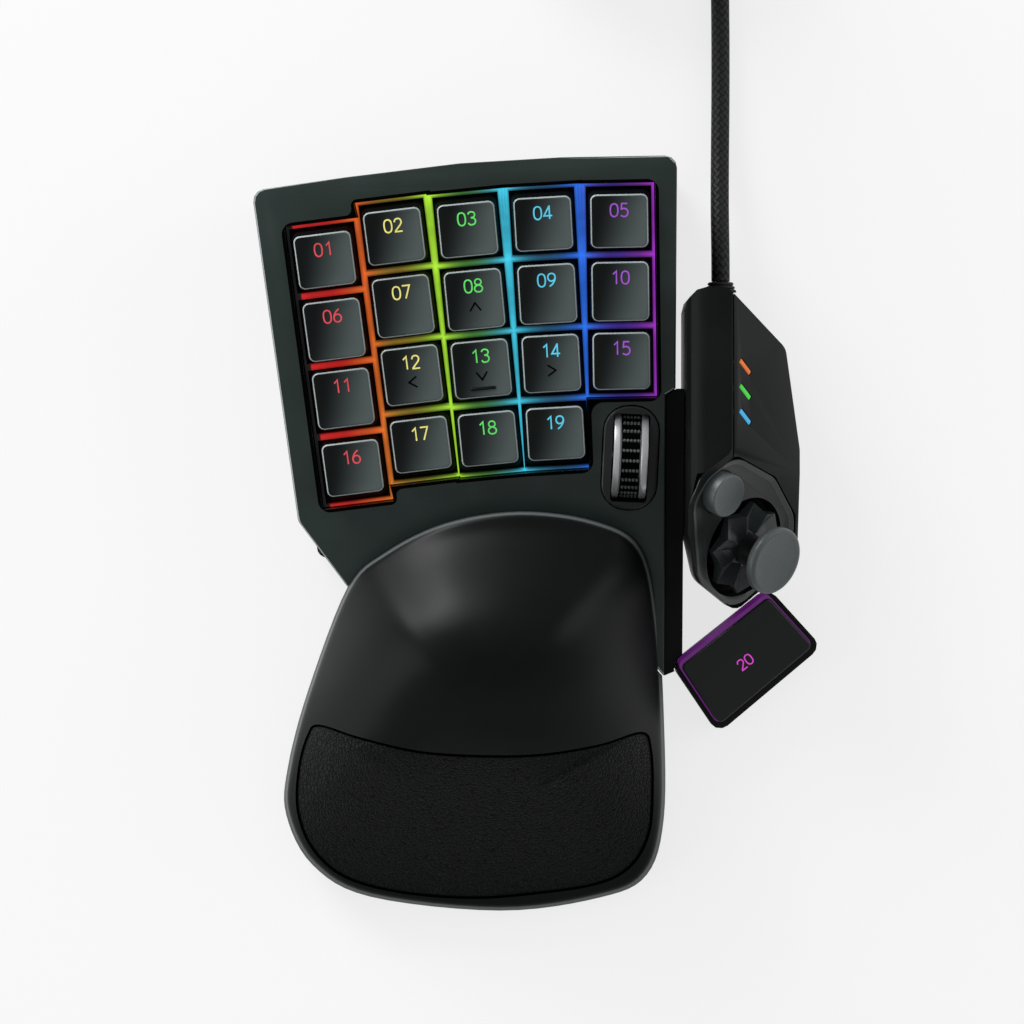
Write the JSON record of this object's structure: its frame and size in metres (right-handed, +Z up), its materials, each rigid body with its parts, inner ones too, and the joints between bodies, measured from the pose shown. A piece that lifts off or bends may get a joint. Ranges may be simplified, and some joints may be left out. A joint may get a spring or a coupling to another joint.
{
  "type": "gaming keypad",
  "caption": "One-handed gaming keypad: fanned backlit keys, scroll wheel, thumb module with direction pad and stick, thumb key, sliding palm rest and braided cable.",
  "frame": {"origin": "on the desk, under the middle of the keypad without its cable", "axes": "+Y to the rear, away from the user; +Z up from the desk; +X to the user's right, where the thumb module is"},
  "size_m": [0.1511, 0.3348, 0.0565],
  "materials": {
    "satin_black": "satin",
    "base_black": "matte",
    "key_black": "satin",
    "light_white": "translucent white",
    "board_green": "glass-fibre board",
    "dome_grey": "matte",
    "wheel_silver": "metallised silver",
    "rubber_black": "matte",
    "control_grey": "satin dark grey",
    "pad_leather": "fine-grained soft leatherette",
    "steel": "plain",
    "cable_braid": "braided black"
  },
  "bodies": {
    "case": {"top_shell": "satin_black", "bottom_shell": "base_black", "light_guide": "light_white", "key_plate": "base_black", "dome_sheet": "dome_grey", "main_board": "board_green", "case_screw_left": "steel", "case_screw_right": "steel", "wheel_bezel": "satin_black", "thumb_inner_shell": "satin_black", "thumb_side_cover": "satin_black", "thumb_face_plate": "control_grey", "gimbal_base": "base_black", "thumb_base": "base_black", "thumb_board": "board_green", "status_light_pipe": "light_white", "key_20_tray": "base_black", "foot_rear": "rubber_black", "foot_middle": "rubber_black", "foot_thumb": "rubber_black", "cable_grommet": "rubber_black", "cable_lead": "cable_braid", "cable_coil": "cable_braid", "plug_body": "rubber_black", "plug_shell": "steel", "cable_tie": "rubber_black"},
    "palm_rest": {"palm_shell": "satin_black", "palm_base": "base_black", "palm_pad": "pad_leather", "foot_palm": "rubber_black"},
    "latch": {"palm_latch": "base_black"},
    "wheel_mount": {"wheel_carrier": "base_black"},
    "wheel": {"wheel_rim": "wheel_silver", "wheel_tread": "rubber_black"},
    "thumb_button": {"mode_button": "control_grey"},
    "thumb_ring": {"gimbal_ring": "base_black"},
    "thumb_pad": {"direction_pad": "control_grey", "thumb_stick": "base_black", "stick_cap": "control_grey"},
    "thumb_key": {"key_20": "key_black"},
    "cap_01": {"key_01": "key_black"},
    "cap_02": {"key_02": "key_black"},
    "cap_03": {"key_03": "key_black"},
    "cap_04": {"key_04": "key_black"},
    "cap_05": {"key_05": "key_black"},
    "cap_06": {"key_06": "key_black"},
    "cap_07": {"key_07": "key_black"},
    "cap_08": {"key_08": "key_black"},
    "cap_09": {"key_09": "key_black"},
    "cap_10": {"key_10": "key_black"},
    "cap_11": {"key_11": "key_black"},
    "cap_12": {"key_12": "key_black"},
    "cap_13": {"key_13": "key_black"},
    "cap_14": {"key_14": "key_black"},
    "cap_15": {"key_15": "key_black"},
    "cap_16": {"key_16": "key_black"},
    "cap_17": {"key_17": "key_black"},
    "cap_18": {"key_18": "key_black"},
    "cap_19": {"key_19": "key_black"}
  },
  "joints": [
    {"name": "key_01_press", "type": "slide", "parent": "case", "child": "cap_01", "axis": [0, 0.1736, -0.9848], "range_m": [0, 0.0035], "stiffness_N_per_m": 157, "springref_m": -0.0005, "deforming": ["dome_sheet"]},
    {"name": "key_02_press", "type": "slide", "parent": "case", "child": "cap_02", "axis": [0, 0.1736, -0.9848], "range_m": [0, 0.0035], "stiffness_N_per_m": 157, "springref_m": -0.0005, "deforming": ["dome_sheet"]},
    {"name": "key_03_press", "type": "slide", "parent": "case", "child": "cap_03", "axis": [0, 0.1736, -0.9848], "range_m": [0, 0.0035], "stiffness_N_per_m": 157, "springref_m": -0.0005, "deforming": ["dome_sheet"]},
    {"name": "key_04_press", "type": "slide", "parent": "case", "child": "cap_04", "axis": [0, 0.1736, -0.9848], "range_m": [0, 0.0035], "stiffness_N_per_m": 157, "springref_m": -0.0005, "deforming": ["dome_sheet"]},
    {"name": "key_05_press", "type": "slide", "parent": "case", "child": "cap_05", "axis": [0, 0.1736, -0.9848], "range_m": [0, 0.0035], "stiffness_N_per_m": 157, "springref_m": -0.0005, "deforming": ["dome_sheet"]},
    {"name": "key_06_press", "type": "slide", "parent": "case", "child": "cap_06", "axis": [0, 0.1736, -0.9848], "range_m": [0, 0.0035], "stiffness_N_per_m": 157, "springref_m": -0.0005, "deforming": ["dome_sheet"]},
    {"name": "key_07_press", "type": "slide", "parent": "case", "child": "cap_07", "axis": [0, 0.1736, -0.9848], "range_m": [0, 0.0035], "stiffness_N_per_m": 157, "springref_m": -0.0005, "deforming": ["dome_sheet"]},
    {"name": "key_08_press", "type": "slide", "parent": "case", "child": "cap_08", "axis": [0, 0.1736, -0.9848], "range_m": [0, 0.0035], "stiffness_N_per_m": 157, "springref_m": -0.0005, "deforming": ["dome_sheet"]},
    {"name": "key_09_press", "type": "slide", "parent": "case", "child": "cap_09", "axis": [0, 0.1736, -0.9848], "range_m": [0, 0.0035], "stiffness_N_per_m": 157, "springref_m": -0.0005, "deforming": ["dome_sheet"]},
    {"name": "key_10_press", "type": "slide", "parent": "case", "child": "cap_10", "axis": [0, 0.1736, -0.9848], "range_m": [0, 0.0035], "stiffness_N_per_m": 157, "springref_m": -0.0005, "deforming": ["dome_sheet"]},
    {"name": "key_11_press", "type": "slide", "parent": "case", "child": "cap_11", "axis": [0, 0.1736, -0.9848], "range_m": [0, 0.0035], "stiffness_N_per_m": 157, "springref_m": -0.0005, "deforming": ["dome_sheet"]},
    {"name": "key_12_press", "type": "slide", "parent": "case", "child": "cap_12", "axis": [0, 0.1736, -0.9848], "range_m": [0, 0.0035], "stiffness_N_per_m": 157, "springref_m": -0.0005, "deforming": ["dome_sheet"]},
    {"name": "key_13_press", "type": "slide", "parent": "case", "child": "cap_13", "axis": [0, 0.1736, -0.9848], "range_m": [0, 0.0035], "stiffness_N_per_m": 157, "springref_m": -0.0005, "deforming": ["dome_sheet"]},
    {"name": "key_14_press", "type": "slide", "parent": "case", "child": "cap_14", "axis": [0, 0.1736, -0.9848], "range_m": [0, 0.0035], "stiffness_N_per_m": 157, "springref_m": -0.0005, "deforming": ["dome_sheet"]},
    {"name": "key_15_press", "type": "slide", "parent": "case", "child": "cap_15", "axis": [0, 0.1736, -0.9848], "range_m": [0, 0.0035], "stiffness_N_per_m": 157, "springref_m": -0.0005, "deforming": ["dome_sheet"]},
    {"name": "key_16_press", "type": "slide", "parent": "case", "child": "cap_16", "axis": [0, 0.1736, -0.9848], "range_m": [0, 0.0035], "stiffness_N_per_m": 157, "springref_m": -0.0005, "deforming": ["dome_sheet"]},
    {"name": "key_17_press", "type": "slide", "parent": "case", "child": "cap_17", "axis": [0, 0.1736, -0.9848], "range_m": [0, 0.0035], "stiffness_N_per_m": 157, "springref_m": -0.0005, "deforming": ["dome_sheet"]},
    {"name": "key_18_press", "type": "slide", "parent": "case", "child": "cap_18", "axis": [0, 0.1736, -0.9848], "range_m": [0, 0.0035], "stiffness_N_per_m": 157, "springref_m": -0.0005, "deforming": ["dome_sheet"]},
    {"name": "key_19_press", "type": "slide", "parent": "case", "child": "cap_19", "axis": [0, 0.1736, -0.9848], "range_m": [0, 0.0035], "stiffness_N_per_m": 157, "springref_m": -0.0005, "deforming": ["dome_sheet"]},
    {"name": "wheel_click", "type": "slide", "parent": "case", "child": "wheel_mount", "axis": [0, 0.1736, -0.9848], "range_m": [0, 0.0005], "stiffness_N_per_m": 700, "springref_m": -0.0005},
    {"name": "wheel_spin", "type": "hinge", "parent": "wheel_mount", "child": "wheel", "pos_m": [0.02338, 0.02276, 0.02402], "axis": [0.9991, -0.0412, -0.0073], "continuous": true},
    {"name": "key_20_press", "type": "slide", "parent": "case", "child": "thumb_key", "axis": [-0.2526, 0.3188, -0.9135], "range_m": [0, 0.0025], "stiffness_N_per_m": 200, "springref_m": -0.0005},
    {"name": "mode_button_press", "type": "slide", "parent": "case", "child": "thumb_button", "axis": [-0.6735, 0.3141, -0.6691], "range_m": [0, 0.001], "stiffness_N_per_m": 400, "springref_m": -0.0005},
    {"name": "pad_tilt_across", "type": "hinge", "parent": "case", "child": "thumb_ring", "pos_m": [0.0508, -0.00077, 0.02552], "axis": [0.4226, 0.9063, 0], "range_deg": [-8, 8], "stiffness_Nm_per_rad": 0.05},
    {"name": "pad_tilt_along", "type": "hinge", "parent": "thumb_ring", "child": "thumb_pad", "pos_m": [0.0508, -0.00077, 0.02552], "axis": [-0.6064, 0.2828, 0.7431], "range_deg": [-8, 8], "stiffness_Nm_per_rad": 0.05},
    {"name": "palm_slide", "type": "slide", "parent": "case", "child": "palm_rest", "axis": [0, -1, 0], "range_m": [0, 0.012]},
    {"name": "palm_latch_release", "type": "slide", "parent": "palm_rest", "child": "latch", "axis": [1, 0, 0], "range_m": [0, 0.002], "stiffness_N_per_m": 300, "springref_m": -0.0005}
  ]
}
